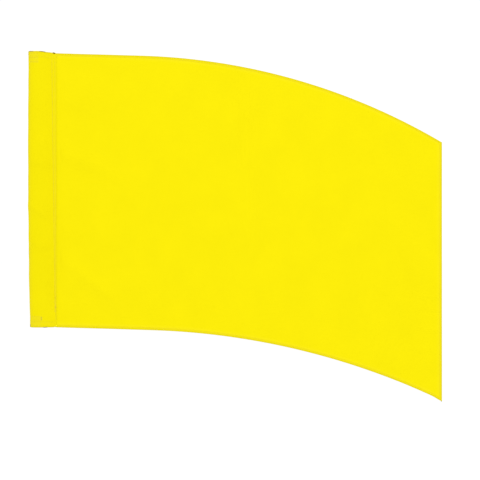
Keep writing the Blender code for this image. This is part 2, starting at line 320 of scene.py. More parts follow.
# Stretch of the seam that is sewn twice, and how far beside the first row the second one runs
BACK_STITCHED_Z = (0.052, 0.104)
BACK_STITCH_SHIFT = 0.0010

# Tacks, as (range of z, distance beside the seam or x, half width in turns, spacing), and the swing and
# the step of their threads' unevenness
SEAM_KNOT = ((0.062, 0.073), 0.0026, 0.040, 0.0018)
TAB_TACK = ((0.0232, 0.0356), 0.0130, 0.024, 0.0012)
TACK_UNEVENNESS = (0.12, 9.0)

# Dark thread ends left along the sleeve's rims, as (end, start x, end x, start drop, end drop). end is 1
# at the upper mouth and -1 at the lower one, and a drop is a distance in from that mouth's rim
THREAD_ENDS = (
    (1, -0.0285, -0.0120, 0.0004, 0.0006),
    (1, 0.0050, 0.0290, 0.0008, 0.0010),
    (1, -0.0324, -0.0324, 0.0020, 0.0140),
    (-1, -0.0255, -0.0240, 0.0010, 0.0095),
    (-1, 0.0190, 0.0330, 0.0002, 0.0006),
)
THREAD_END_STRANDS = 3
THREAD_END_RADIUS = 0.0003
STRAND_LIFT = 0.5
THREAD_WANDER = 0.0004
THREAD_WAVES = (1.5, 4.0)
THREAD_POINTS = 30
THREAD_TRIM = 5
ACROSS_THREADS = (0.36, 0.80, 0.48)

# The knot of the same thread at the upper mouth: x, drop, half width and half height. Its loops are
# waves, as (share, number of turns, phase); KNOT_DEPTH is (mean, swing, number of turns) in thread radii
KNOT = (0.0530, 0.0026, 0.0042, 0.0024)
KNOT_SWING = ((0.62, 2, 0.3), (0.38, 5, 1.1))
KNOT_RISE = ((0.60, 3, 0.0), (0.40, 7, 0.7 + math.pi / 2))
KNOT_LEAN = 0.18
KNOT_DEPTH = (2.6, 1.6, 4)
KNOT_POINTS = 160

# Tail of thread at the fly end's lower corner: its inset, run, rise and droop, and its two threads
TAIL = (0.0036, 0.0030, 0.0030, 0.0012)
TAIL_POINTS = 12
TAIL_THREADS = 2
TAIL_OFFSET = np.array([0.0006, 0.0002, 0.0])

# Seeds of everything uneven
LOOK_SEED = 11
EDGE_SEEDS = {"inner": {"top": 45, "bottom": 40}, "outer": {"top": 55, "bottom": 50}}
END_SEED = 80
MOUTH_SEED = 90
TAB_SEED = 100
SEAM_SEEDS = (120, 124)
BACK_STITCH_SEED = 130
TACK_SEEDS = (3, 5)

# Studio; LIGHTS are (place, power)
FLOOR_HALF = 120.0
FLOOR_CORNERS = ((-1, -1), (1, -1), (1, 1), (-1, 1))
FLOOR_LEVEL = -1.2
FLOOR_SHADE = 0.96
WORLD_STRENGTH = 1.06
LIGHT_TARGET = (0.65, 0.0, 0.35)
LIGHT_SIZE = 2.5
LIGHTS = {
    "key_light": ((1.3, -4.9, 3.6), 61.0),
    "back_light": ((3.6, 4.0, 2.8), 58.0),
}
CAMERA_PLACE = (0.6696, -6.0, 0.2894)
CAMERA_LENS = 135.75
CAMERA_SENSOR = 36.0


def smooth(value, low, high):
    """0 below low and 1 above high, with a smooth step between them."""
    share = np.clip((value - low) / (high - low), 0.0, 1.0)
    return share * share * (3 - 2 * share)


def fading(value, share, full, gone):
    """The share as far as full, nothing from gone on, and a smooth step between them."""
    return share * (1 - smooth(value, full, gone))


def near(value, middle, width, share=1.0):
    """The share at the middle, falling off smoothly over the width on either side."""
    return share * np.exp(-(((value - middle) / width) ** 2))


def edge_line(edge, side):
    """x and z arrays along the fly's upper (side 1) or lower (side -1) edge, from its packed hems."""
    hems = [frame["nodes"][f"{half}_{edge}_hem"].data.vertices for half in ("inner", "outer")]
    points = np.array([point.co for hem in hems for point in hem], float)
    stations = np.round(points[:, 0], STATION_DIGITS)
    xs = np.unique(stations)
    zs = np.array([side * (side * points[stations == x, 2]).max() for x in xs])
    return xs, zs


def slanting_row(node):
    """Function that gives a straight stitch row's x at a height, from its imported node."""
    low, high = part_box(node)
    radius = (high.y - low.y) / 2
    slope = (low.x - high.x + 2 * radius) / (high.z - low.z)
    return lambda z: high.x - radius + slope * (z - low.z)


def creases(x, z, table):
    """Sum of soft ridges and valleys that fade out at both ends."""
    total = np.zeros_like(x)
    for start_x, start_z, end_x, end_z, width, height in table:
        run_x, run_z = end_x - start_x, end_z - start_z
        length = math.hypot(run_x, run_z)
        along = ((x - start_x) * run_x + (z - start_z) * run_z) / length**2
        across = ((x - start_x) * run_z - (z - start_z) * run_x) / length
        fade = np.exp(-((2 * along - 1) ** 4))
        total += near(across, 0.0, width, height * fade)
    return total


def ripple(x, z, seed, longest, shortest, count=9):
    """Smooth unevenness between -1 and 1: waves of drawn directions, lengths and phases."""
    draw = np.random.default_rng(seed)
    total = np.zeros_like(x)
    for _ in range(count):
        length = math.exp(draw.uniform(math.log(shortest), math.log(longest)))
        angle = draw.uniform(0, math.pi)
        phase = draw.uniform(0, 2 * math.pi)
        travel = x * math.cos(angle) + z * math.sin(angle)
        total += np.sin(2 * math.pi * travel / length + phase)
    return total / count


def pucker(along, seed):
    """Uneven scallops along a stitch row, between -1 and 1."""
    return sum(
        share * np.sin(along / length + weight * seed + swing * np.sin(along / swing_length))
        for share, length, weight, swing, swing_length in PUCKERS
    )


def waves(t, table):
    """Sum of sine waves, from their shares, numbers of turns and phases."""
    return sum(share * np.sin(turns * t + phase) for share, turns, phase in table)


def unit(vectors):
    """The vectors, each at length 1."""
    return vectors / np.linalg.norm(vectors, axis=-1, keepdims=True)


def lengths_along(points):
    """Distance of every point of a path from its first one, along the path."""
    steps = np.linalg.norm(np.diff(points, axis=0), axis=1)
    return np.concatenate([[0], np.cumsum(steps)])


def blur(grid, reach):
    """The grid averaged over reach cells each way along both axes, three times."""
    for _ in range(3):
        for axis in (0, 1):
            padding = [(reach, reach) if a == axis else (0, 0) for a in (0, 1)]
            padded = np.pad(grid, padding, mode="edge")
            size = grid.shape[axis]
            grid = sum(padded.take(range(k, k + size), axis) for k in range(2 * reach + 1))
            grid = grid / (2 * reach + 1)
    return grid


def look_up(grid, across, up):
    """Values of a grid at shares from 0 to 1 along its two axes, interpolated."""
    across = np.clip(across, 0, 1) * (grid.shape[0] - 1)
    up = np.clip(up, 0, 1) * (grid.shape[1] - 1)
    i = np.minimum(across.astype(int), grid.shape[0] - 2)
    j = np.minimum(up.astype(int), grid.shape[1] - 2)
    a, b = across - i, up - j
    low = grid[i, j] * (1 - a) + grid[i + 1, j] * a
    high = grid[i, j + 1] * (1 - a) + grid[i + 1, j + 1] * a
    return low * (1 - b) + high * b


def grid_faces(columns, rows):
    """Quads between the points of a grid that is stored column by column."""
    index = np.arange(columns * rows).reshape(columns, rows)
    corners = (index[:-1, :-1], index[1:, :-1], index[1:, 1:], index[:-1, 1:])
    return np.stack(corners, -1).reshape(-1, 4)


class Fly:
    """Middle surface of the fly's cloth, addressed by x and z."""

    def __init__(self):
        self.top = edge_line("top", 1)
        self.bottom = edge_line("bottom", -1)
        columns = int((FLY_X - FLY_START_X) / RELIEF_CELL) + 1
        rows = int(HOIST / RELIEF_CELL) + 1
        self.drape = np.zeros((columns, rows))

    def edge_z(self, line, x):
        """Height of an edge at x, carried on straight past the hems' first station."""
        xs, zs = line
        slope = (zs[1] - zs[0]) / (xs[1] - xs[0])
        return np.interp(x, xs, zs) + slope * np.minimum(x - xs[0], 0.0)

    def top_z(self, x):
        return self.edge_z(self.top, x)

    def bottom_z(self, x):
        return self.edge_z(self.bottom, x) - CORNER_SAG * smooth(x, FLY_X - CORNER_SAG_RUN, FLY_X)

    def shares(self, x, z):
        """Shares of the way from the seam to the fly end and from the lower to the upper edge."""
        low = self.bottom_z(x)
        return (x - FLY_START_X) / (FLY_X - FLY_START_X), (z - low) / (self.top_z(x) - low)

    def lift(self, x, z):
        """How far the cloth stands out of its plane, towards the front."""
        calm = smooth(x, SEAM_HINGE_X + SEAM_CALM[0], SEAM_HINGE_X + SEAM_CALM[1])
        calm *= 1 - FOLD_CALM * near(x, FOLD_HINGE_X, FOLD_CALM_WIDTH)
        drape = look_up(self.drape, *self.shares(x, z))
        fade, row_fade = (smooth(x, SEAM_HINGE_X, SEAM_HINGE_X + reach) for reach in SEAM_FADE)
        marks = creases(x, z, FLY_CREASES) * fade
        hems = ((self.top_z(x) - z, x), (z - self.bottom_z(x), x), (FLY_X - x, z))
        rows = sum(
            near(inset, HEM_ROW, FLY_PUCKER_WIDTH) * (pucker(along, number) - 1)
            for number, (inset, along) in enumerate(hems, 1)
        )
        return calm * drape + marks + FLY_PUCKER * rows * row_fade

    def at(self, x, z):
        """Points of the surface and the directions that its front faces there."""
        x, z = np.broadcast_arrays(np.asarray(x, float), np.asarray(z, float))
        step = FLY_PROBE
        slope_x = (self.lift(x + step, z) - self.lift(x - step, z)) / (2 * step)
        slope_z = (self.lift(x, z + step) - self.lift(x, z - step)) / (2 * step)
        points = np.stack([x, -self.lift(x, z), z], -1)
        normals = np.stack([-slope_x, -np.ones_like(x), -slope_z], -1)
        return points, unit(normals)

    def cloth_uv(self, x, z):
        return np.stack(np.broadcast_arrays(x, z), -1)


class Sleeve:
    """Middle surface of the sleeve's cloth, addressed by turn and z.

    turn is -1 where the front ply meets the seam, 0 at the hoist fold and 1 where the back ply
    meets the seam. From 1 to 1 + ALLOWANCE_TURN, either way, comes the flat seam allowance.
    """

    def __init__(self):
        self.row_x = slanting_row("seam_stitching")
        self.edge_row_x = slanting_row("seam_edge_stitching")
        self.swell = (SLEEVE_HIGH.y - PLY / 2) / SWELL_PEAK
        self.turns = np.linspace(-1 - ALLOWANCE_TURN, 1 + ALLOWANCE_TURN, SECTION_STEPS)
        self.girth = lengths_along(self.section(self.turns, np.full(SECTION_STEPS, FOLD_BOW_Z)))

    def fold_x(self, z):
        return SLEEVE_LOW.x + PLY / 2 + FOLD_BOW * (z - FOLD_BOW_Z) ** 2

    def seam_x(self, z):
        return self.row_x(z) - SEAM_INSET

    def turn_of(self, x, z, side):
        """turn of the point at x on the front ply, side -1, or on the back one, side 1."""
        fold, seam = self.fold_x(z), self.seam_x(z)
        inside = np.sqrt(np.clip((x - fold) / (seam - fold), 0, 1))
        outside = np.clip((x - seam) / (SLEEVE_EDGE_X - seam), 0, None) * ALLOWANCE_TURN
        return side * (inside + outside)

    def rim_z(self, turn, end):
        """Height of the lower rim, end -1, or of the upper one, end 1."""
        if end < 0:
            return CORNER_LIFT * near(turn, 0.0, CORNER_TURN)
        x = self.section(turn, np.full_like(turn, HOIST))[..., 0]
        return HOIST - sum(drop * smooth(x, first, last) for first, last, drop in SHOULDERS)

    def section(self, turn, z):
        reach = np.abs(turn)
        inside = np.minimum(reach, 1.0)
        outside = np.clip(reach - 1, 0, None) / ALLOWANCE_TURN
        fold, seam = self.fold_x(z), self.seam_x(z)
        x = fold + (seam - fold) * inside**2 + (SLEEVE_EDGE_X - seam) * outside
        y = np.sign(turn) * inside * (self.swell * (1 - inside**2) + SEAM_PLY_Y)
        return np.stack([x, y, z], -1)

    def relief(self, turn, x, z):
        """How far wrinkles, the tabs and the seam's pull lift the cloth off its section."""
        reach = np.abs(turn)
        calm = 1 - smooth(reach, *SLEEVE_CALM)
        shift = np.where(turn > 0, BACK_CREASE_SHIFT, 0.0)
        marks = creases(x, z + shift, SLEEVE_CREASES)
        stretched = x * SLACK_STRETCH + SLACK_SHIFT * np.sign(turn)
        slack = SLEEVE_SLACK * ripple(stretched, z, LOOK_SEED, *SLACK_WAVES)
        pull = near(reach, *SEAM_PUCKER_TURNS) * pucker(z, 5 + np.sign(turn))
        return calm * (marks + slack + TAB_SWELL * self.over_tab(turn, z)) + SEAM_PUCKER * pull

    def over_tab(self, turn, z):
        """1 where the front ply lies over one of the two grip tabs, and 0 elsewhere."""
        past = [smooth(-turn, edge - fade, edge + fade) for edge, fade in zip(TAB_TURNS, TAB_FADES)]
        end = np.minimum(z, HOIST - z)
        beyond = smooth(end, 2 * MOUTH_HEM - TAB_END_FADE, 2 * MOUTH_HEM + TAB_END_FADE)
        return past[0] * (1 - past[1]) * (1 - beyond)

    def lifted(self, turn, z):
        points = self.section(turn, z)
        run = self.section(turn + SECTION_PROBE, z) - self.section(turn - SECTION_PROBE, z)
        outward = unit(np.stack([-run[..., 1], run[..., 0], np.zeros_like(z)], -1))
        return points + outward * self.relief(turn, points[..., 0], z)[..., None]

    def at(self, turn, z):
        """Points of the surface and the directions that its outer face faces there."""
        turn, z = np.broadcast_arrays(np.asarray(turn, float), np.asarray(z, float))
        turn_step, z_step = SLEEVE_PROBES
        along = self.lifted(turn + turn_step, z) - self.lifted(turn - turn_step, z)
        up = self.lifted(turn, z + z_step) - self.lifted(turn, z - z_step)
        return self.lifted(turn, z), unit(np.cross(up, along))

    def cloth_uv(self, turn, z):
        turn, z = np.broadcast_arrays(turn, z)
        return np.stack([np.interp(turn, self.turns, self.girth), z], -1)


def spaced(first, last, longest):
    """Evenly spaced values from first to last, no further apart than longest."""
    return np.linspace(first, last, max(1, math.ceil((last - first) / longest)) + 1)


def add_object(name, data):
    item = bpy.data.objects.new(name, data)
    bpy.context.scene.collection.objects.link(item)
    return item


def simulate_drape(fly):
    """Hangs the fly as slack cloth from its hoist and its upper edge, and keeps how it bellies."""
    xs = spaced(FLY_START_X, FLY_X, SIM_CELL)
    shares = spaced(0.0, 1.0, SIM_CELL / HOIST)
    x, share = np.meshgrid(xs, shares, indexing="ij")
    z = fly.bottom_z(x) + (fly.top_z(x) - fly.bottom_z(x)) * share
    y = SIM_START * ripple(x, z, SIM_SEED, *SIM_WAVES)
    mesh = bpy.data.meshes.new("drape")
    faces = grid_faces(len(xs), len(shares)).tolist()
    mesh.from_pydata(np.stack([x, y, z], -1).reshape(-1, 3).tolist(), [], faces)
    cloth = add_object("drape", mesh)
    index = np.arange(x.size).reshape(x.shape)
    pins = cloth.vertex_groups.new(name="pins")
    held = {"end": index[-1], "top": index[:, -1], "hoist": index[:2].ravel()}
    for key, weight in SIM_PINS.items():
        pins.add(held[key].tolist(), weight, "REPLACE")
    modifier = cloth.modifiers.new("Cloth", "CLOTH")
    modifier.collision_settings.use_collision = False
    for key, value in SIM_CLOTH.items():
        setattr(modifier.settings, key, value)
    modifier.settings.effector_weights.gravity = SIM_GRAVITY
    modifier.point_cache.frame_start = 1
    modifier.point_cache.frame_end = SIM_FRAMES
    for number in range(1, SIM_FRAMES + 1):
        bpy.context.scene.frame_set(number)
    result = cloth.evaluated_get(bpy.context.evaluated_depsgraph_get()).to_mesh()
    points = np.empty(len(result.vertices) * 3)
    result.vertices.foreach_get("co", points)
    lift = -points.reshape(len(xs), len(shares), 3)[..., 1]
    bpy.data.objects.remove(cloth, do_unlink=True)
    bpy.context.scene.frame_set(1)
    across, up = np.meshgrid(*(np.linspace(0, 1, n) for n in fly.drape.shape), indexing="ij")
    fine = blur(look_up(lift, across, up), DRAPE_BLUR)
    fly.drape = DRAPE_CAP * np.tanh(DRAPE_SHARE * (fine - fine.mean()) / DRAPE_CAP)


def add_piece(name, points, faces, material, uv, normals=None, values=None):
    """Object from points and faces, with the cloth's own UV map in metres and its point values."""
    mesh = bpy.data.meshes.new(name)
    mesh.from_pydata(points.tolist(), [], faces)
    mesh.materials.append(material)
    mesh.shade_smooth()
    corners = np.empty(len(mesh.loops), np.int32)
    mesh.loops.foreach_get("vertex_index", corners)
    layer = mesh.uv_layers.new(name="Cloth")
    layer.data.foreach_set("uv", uv[corners].astype(np.float32).ravel())
    for key, value in (values or {}).items():
        attribute = mesh.attributes.new(key, "FLOAT", "POINT")
        attribute.data.foreach_set("value", value.astype(np.float32))
    if normals is not None:
        mesh.normals_split_custom_set_from_vertices(normals.tolist())
    return add_object(name, mesh)


def face_away(points, faces, normals):
    """Whether the faces look the other way from the normals."""
    a, b, c = (points[faces[:, k]] for k in range(3))
    return (np.cross(b - a, c - a) * normals[faces[:, 0]]).sum() <= 0


def sheet_piece(name, surface, us, vs, material, shade=None, depth=0.0, thickness=PLY):
    """Closed thin cloth over a grid of surface coordinates, at a depth behind the surface."""
    columns, rows = us.shape
    points, normals = surface.at(us.ravel(), vs.ravel())
    count = columns * rows
    front = points - normals * (depth - thickness / 2)
    back = points - normals * (depth + thickness / 2)
    index = np.arange(count).reshape(columns, rows)
    rim = np.concatenate([index[:, 0], index[-1, 1:], index[-2::-1, -1], index[0, -2:0:-1]])
    after = np.roll(rim, -1)
    faces = grid_faces(columns, rows)
    sides = np.stack([rim, rim + count, after + count, after], -1)
    if face_away(front, faces, normals):
        faces, sides = faces[:, ::-1], sides[:, ::-1]
    every = np.concatenate([faces, faces[:, ::-1] + count, sides]).tolist()
    uv = surface.cloth_uv(us.ravel(), vs.ravel())
    values = {key: np.tile(value.ravel(), 2) for key, value in (shade or {}).items()}
    both, out = np.concatenate([front, back]), np.concatenate([normals, -normals])
    return add_piece(name, both, every, material, np.tile(uv, (2, 1)), out, values)


def strip_piece(name, surface, us, vs, inward, profile, material):
    """Closed band along an edge, from its profile of (distance in from the edge, depth, share of painted
    rim shade).
    """
    rings = []
    uvs = []
    for distance, depth, _ in profile:
        place = (us + inward[0] * distance, vs + inward[1] * distance)
        points, normals = surface.at(*place)
        rings.append(points - normals * depth)
        uvs.append(surface.cloth_uv(*place))
    points = np.stack(rings, 1)
    stations, around = points.shape[:2]
    index = np.arange(stations * around).reshape(stations, around)
    after = np.roll(index, -1, axis=1)
    sides = np.stack([index[:-1], index[1:], after[1:], after[:-1]], -1).reshape(-1, 4)
    flat = points.reshape(-1, 3)
    middle = np.repeat(points.mean(1), around, axis=0)
    caps = [index[0].tolist(), index[-1, ::-1].tolist()]
    if face_away(flat, sides, flat - middle):
        sides, caps = sides[:, ::-1], [cap[::-1] for cap in caps]
    # How much painted rim shade each ring of the profile takes
    rim = np.tile([share for _, _, share in profile], stations)
    uv = np.stack(uvs, 1).reshape(-1, 2)
    return add_piece(name, flat, sides.tolist() + caps, material, uv, values={"rim": rim})


def hem_profile(width, depth):
    """Profile of a turned hem behind the cloth, with a round lip that covers the cut edge and painted
    rim shade.
    """
    under = PLY / 2 + PLY_CLEARANCE
    middle = (depth - PLY) / 2 + PLY / 4
    radius = (depth + PLY / 2) / 2
    lip = [(LIP, -PLY / 2, 1.0)]
    for part in range(1, LIP_PARTS):
        angle = math.pi * part / LIP_PARTS
        lip.append((LIP * (1 - math.sin(angle)), middle - radius * math.cos(angle), 1.0))
    back = [(share * width, depth, rim) for share, rim in HEM_RIM_SHADES]
    inner = [(width - 2 * EDGE_ROUNDING, depth - EDGE_ROUNDING), (width, depth * HEM_EDGE_SHARE)]
    front = [(share * width, under) for share in HEM_FRONT_SHARES]
    front = [(width - EDGE_ROUNDING, under), *front, (LIP + 3 * EDGE_ROUNDING, under)]
    return lip + back + [(distance, level, 0.0) for distance, level in inner + front]


def thread_rings(first, second):
    """Unit circles round a thread, each through two directions that are square to the thread."""
    cosines, sines = np.cos(THREAD_ANGLES)[:, None], np.sin(THREAD_ANGLES)[:, None]
    return first[..., None, :] * cosines + second[..., None, :] * sines


def tube_faces(stations):
    """Faces of one closed tube of thread, whose points are stored station by station."""
    index = np.arange(stations * THREAD_SIDES).reshape(stations, THREAD_SIDES)
    after = np.roll(index, -1, axis=1)
    tube = np.stack([index[:-1], after[:-1], after[1:], index[1:]], -1).reshape(-1, 4)
    return tube.tolist() + [index[0].tolist()[::-1], index[-1].tolist()]


def stitch_row(
    surface, us, vs, depth, seed, radius=THREAD_RADIUS, pitch=STITCH_PITCH, gap=STITCH_GAP
):
    """Points, faces and UVs of one row of stitches, each a short thread that dives at both ends.

    depth is how far behind the surface the row lies: negative on the surface's outer face.
    """
    marks, fat = STITCH_MARKS, STITCH_FATNESS * radius
    lengths = lengths_along(surface.at(us, vs)[0])
    length = lengths[-1]
    count = max(1, round(length / pitch))
    draw = np.random.default_rng(LOOK_SEED + seed)
    starts = length * np.arange(count) / count + gap / 2
    ends = starts + length / count - gap * draw.uniform(*STITCH_GAP_RANGE, count)
    places = starts[:, None] + (ends - starts)[:, None] * marks
    points, normals = surface.at(*(np.interp(places.ravel(), lengths, line) for line in (us, vs)))
    points = points.reshape(count, len(marks), 3)
    normals = normals.reshape(count, len(marks), 3) * (-1.0 if depth > 0 else 1.0)
    aside = np.cross(normals, unit(points[:, -1:] - points[:, :1]))
    arch = radius * (STITCH_ARCH[0] * np.sin(math.pi * marks) - STITCH_ARCH[1])
    centre = points + normals * (abs(depth) + arch)[None, :, None]
    centre += aside * draw.normal(0, STITCH_WANDER * radius, (count, 1, 1))
    verts = centre[:, :, None] + thread_rings(normals, aside) * fat[None, :, None, None]
    size = len(marks) * THREAD_SIDES
    shape = [face[::-1] for face in tube_faces(len(marks))]
    faces = [[corner + size * k for corner in face] for k in range(count) for face in shape]
    uv = np.broadcast_arrays(places[:, :, None], radius * THREAD_ANGLES)
    return verts.reshape(-1, 3), faces, np.stack(uv, -1).reshape(-1, 2)


def stitch_piece(name, rows, material):
    """One object from several rows of stitches."""
    points, faces, uvs, total = [], [], [], 0
    for row_points, row_faces, row_uv in rows:
        points.append(row_points)
        uvs.append(row_uv)
        faces += [[corner + total for corner in face] for face in row_faces]
        total += len(row_points)
    return add_piece(name, np.concatenate(points), faces, material, np.concatenate(uvs))


def bar_tack(surface, us, vs, half_width, spacing, seed):
    """Satin bar: short threads side by side, each across the path from one end to the other."""
    count = max(2, round(lengths_along(surface.at(us, vs)[0])[-1] / spacing))
    swing, step = TACK_UNEVENNESS
    rows = []
    for k in range(count):
        share = (k + 0.5) / count
        u = us[0] + (us[-1] - us[0]) * share
        across = half_width * (1 + swing * math.sin(step * k + seed))
        ends_u = np.array([u - across, u + across])
        ends_v = np.full(2, vs[0] + (vs[-1] - vs[0]) * share)
        rows.append(stitch_row(surface, ends_u, ends_v, ON_FRONT, seed + k, pitch=1.0, gap=0.0))
    return rows


class Finish:
    """A material whose nodes are added one by one, each with its inputs set or linked."""

    def __init__(self, name, roughness, specular):
        self.material = bpy.data.materials.new(name)
        self.material.use_nodes = True
        self.tree = self.material.node_tree
        self.shader = self.tree.nodes["Principled BSDF"]
        self.feed(self.shader, {"Roughness": roughness, "Specular IOR Level": specular})
        self.feed(self.shader, {"Specular Tint": (*SPARK, 1.0)})
        self.uv = self.node("UVMap", {}, uv_map="Cloth")

    def feed(self, node, inputs):
        for key, value in inputs.items():
            if isinstance(value, bpy.types.NodeSocket):
                self.tree.links.new(value, node.inputs[key])
            else:
                node.inputs[key].default_value = value

    def node(self, kind, inputs, output=0, **settings):
        made = self.tree.nodes.new("ShaderNode" + kind)
        for key, value in settings.items():
            setattr(made, key, value)
        self.feed(made, inputs)
        return made.outputs[output]

    def noise(self, sizes, detail=2.0):
        """2D noise whose grains have the given sizes in metres along the cloth's two directions."""
        scale = (1 / sizes[0], 1 / sizes[1], 1.0)
        place = self.node("Mapping", {"Vector": self.uv, "Scale": scale})
        settings = {"Vector": place, "Scale": 1.0, "Detail": detail}
        return self.node("TexNoise", settings, noise_dimensions="2D")

    def math(self, operation, a, b):
        return self.node("Math", {0: a, 1: b}, operation=operation)

    def weighted(self, patterns, shares):
        """Sum of the patterns, each times its share."""
        total = 0.0
        for pattern, share in zip(patterns, shares):
            total = self.math("ADD", self.math("MULTIPLY", pattern, share), total)
        return total

    def bands(self, vector, period, direction):
        """Sine bands across one direction of the cloth, with the given period in metres."""
        settings = {"Vector": vector, "Scale": 2 * math.pi / (WAVE_RATE * period)}
        return self.node(
            "TexWave", settings, output=1, wave_type="BANDS", bands_direction=direction
        )

    def ranged(self, pattern, low, high):
        """The pattern, spread over a range."""
        return self.node("MapRange", {"Value": pattern, "To Min": low, "To Max": high})

    def mix(self, share, first, second, blend="MIX"):
        settings = {"Fac": share, "Color1": first, "Color2": second}
        return self.node("MixRGB", settings, blend_type=blend)

    def done(self, base, rough, height, strength, distance):
        """The material, once its colour, its roughness and its bumps are set."""
        settings = {"Height": height, "Strength": strength, "Distance": distance}
        bump = self.node("Bump", settings)
        self.feed(self.shader, {"Base Color": base, "Roughness": rough, "Normal": bump})
        return self.material


def cloth_finish(name, *colours):
    """Plain-woven cotton with uneven yarns; painted shade on weave crossings, hidden plies and rims; its
    streaks.
    """
    finish = Finish(name, roughness=0.85, specular=0.2)
    yarns = finish.weighted([finish.noise(sizes) for sizes in YARN_SIZES], (0.5, 0.5))
    cloud = finish.noise(CLOUD_SIZES, detail=3.0)
    # The weave's crossings are painted darker, as painted shade of the yarns' relief, besides their
    # bumps
    over, under = (finish.bands(finish.uv, WEAVE_PITCH, direction) for direction in "XY")
    both = finish.math("MULTIPLY", finish.math("MULTIPLY", over, under), 2.0)
    weave = finish.math("SUBTRACT", finish.math("ADD", both, 1.0), finish.math("ADD", over, under))
    tone = finish.ranged(finish.weighted((yarns, cloud, weave), TONE_SHARES), *TONE_RANGE)
    base = (*colours[0], 1.0)
    # Painted shade over hidden plies and at rims, and the streak tone, from the cloth's point values
    for key, colour in zip(CLOTH_TONES, colours[1:]):
        share = finish.node("Attribute", {}, output=2, attribute_name=key)
        base = finish.mix(share, base, (*colour, 1.0))
    base = finish.mix(1.0, base, tone, "MULTIPLY")
    finish.feed(finish.shader, {"Sheen Weight": 0.05, "Sheen Roughness": 0.5})
    finish.feed(finish.shader, {"Sheen Tint": (*SPARK, 1.0)})
    height = finish.weighted((yarns, weave), (0.5, 0.5))
    rough = finish.ranged(yarns, 0.78, 0.92)
    return finish.done(base, rough, height, strength=0.6, distance=0.00016)


def thread_finish(name, light, dark):
    """Two-ply sewing thread: slanting bands of its twist, a soft gloss and uneven dye."""
    finish = Finish(name, roughness=0.55, specular=0.3)
    slant = (0.0, 0.0, math.radians(TWIST_DEGREES))
    turned = finish.node("Mapping", {"Vector": finish.uv, "Rotation": slant})
    twist = finish.bands(turned, TWIST_PITCH, "X")
    dye = finish.noise(DYE_SIZES)
    share = finish.weighted((twist, dye), PATTERN_SHARES)
    base = finish.mix(share, (*dark, 1.0), (*light, 1.0))
    return finish.done(base, finish.ranged(dye, 0.45, 0.7), twist, strength=0.4, distance=0.0001)


def webbing_finish(name, light, dark):
    """Ribbed tape: close ribs across it, with a finer grain along each rib."""
    finish = Finish(name, roughness=0.8, specular=0.2)
    ribs = finish.bands(finish.uv, RIB_PITCH, "Y")
    grain = finish.noise(RIB_GRAIN_SIZES)
    share = finish.weighted((ribs, grain), PATTERN_SHARES)
    base = finish.mix(share, (*dark, 1.0), (*light, 1.0))
    return finish.done(base, finish.ranged(grain, 0.7, 0.9), share, strength=0.6, distance=0.0003)


def rim_shade_share(inset):
    """How strongly cloth has the painted shade of an outer rim at a distance in from it."""
    return sum(fading(inset, *fade) for fade in RIM_SHADE_FADES)


def fly_rows(fly, xs):
    """Heights of the grid's rows at each x: close together at the hems, even between them."""
    inset = np.array(EDGE_ROWS)
    low = fly.bottom_z(xs)[:, None] + inset
    high = fly.top_z(xs)[:, None] - inset[::-1]
    count = math.ceil((HOIST - 2 * inset[-1]) / CELL)
    share = np.linspace(0, 1, count + 1)[1:-1]
    between = low[:, -1:] + (high[:, :1] - low[:, -1:]) * share
    return np.concatenate([low, between, high], axis=1)


def fly_columns(first, last):
    """x of the grid's columns, close together where the cloth bends at a hinge or meets the end."""
    marks = [first, last]
    for _, _, hinge, bend in BENDS.values():
        if first < hinge < last:
            marks += [hinge - bend, hinge + bend]
    marks = sorted(marks)
    xs = []
    for low, high in zip(marks, marks[1:]):
        bends = any(abs((low + high) / 2 - hinge) < FINE_CELL for hinge in JOINT_X.values())
        xs += spaced(low, high, FINE_CELL if bends else CELL).tolist()[:-1]
    return np.array(xs + [last])


def fly_cloth(fly, name, first, last, material):
    xs = fly_columns(first, last)
    if last == FLY_X:
        edge = FLY_X - np.array(EDGE_ROWS[::-1])
        xs = np.concatenate([fly_columns(first, edge[0])[:-1], edge])
    vs = fly_rows(fly, xs)
    us = np.repeat(xs[:, None], vs.shape[1], axis=1)
    inset = np.minimum(fly.top_z(us) - vs, vs - fly.bottom_z(us))
    inset = np.minimum(inset, FLY_X - us)
    # Painted shade over the hem behind and at the outer rim, and a paler streak just inside the hem
    shade = {
        "plies": fading(inset - HEM, *FLY_PLY_SHADE),
        "worn": near(inset - HEM, *FLY_STREAK),
        "rim": rim_shade_share(inset),
    }
    return sheet_piece(name, fly, us, vs, material, shade)


def both_sides(fly, xs, zs, seed):
    """A row of stitches through a hem: on the front of the cloth and on the back of the hem."""
    depths = (ON_FRONT, HEM_DEPTH)
    return [stitch_row(fly, xs, zs, depth, seed + k) for k, depth in enumerate(depths)]


def bend_fly(piece, half, slot, *nodes):
    """Bakes a piece of the fly into place and hides the imported nodes that it stands in for."""
    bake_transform(piece)
    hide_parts(*nodes)
    return piece


def attach(piece, body, slot, *nodes):
    """Lets a piece move with one body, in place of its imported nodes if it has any."""
    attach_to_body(piece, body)
    if nodes:
        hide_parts(*nodes)
    return piece


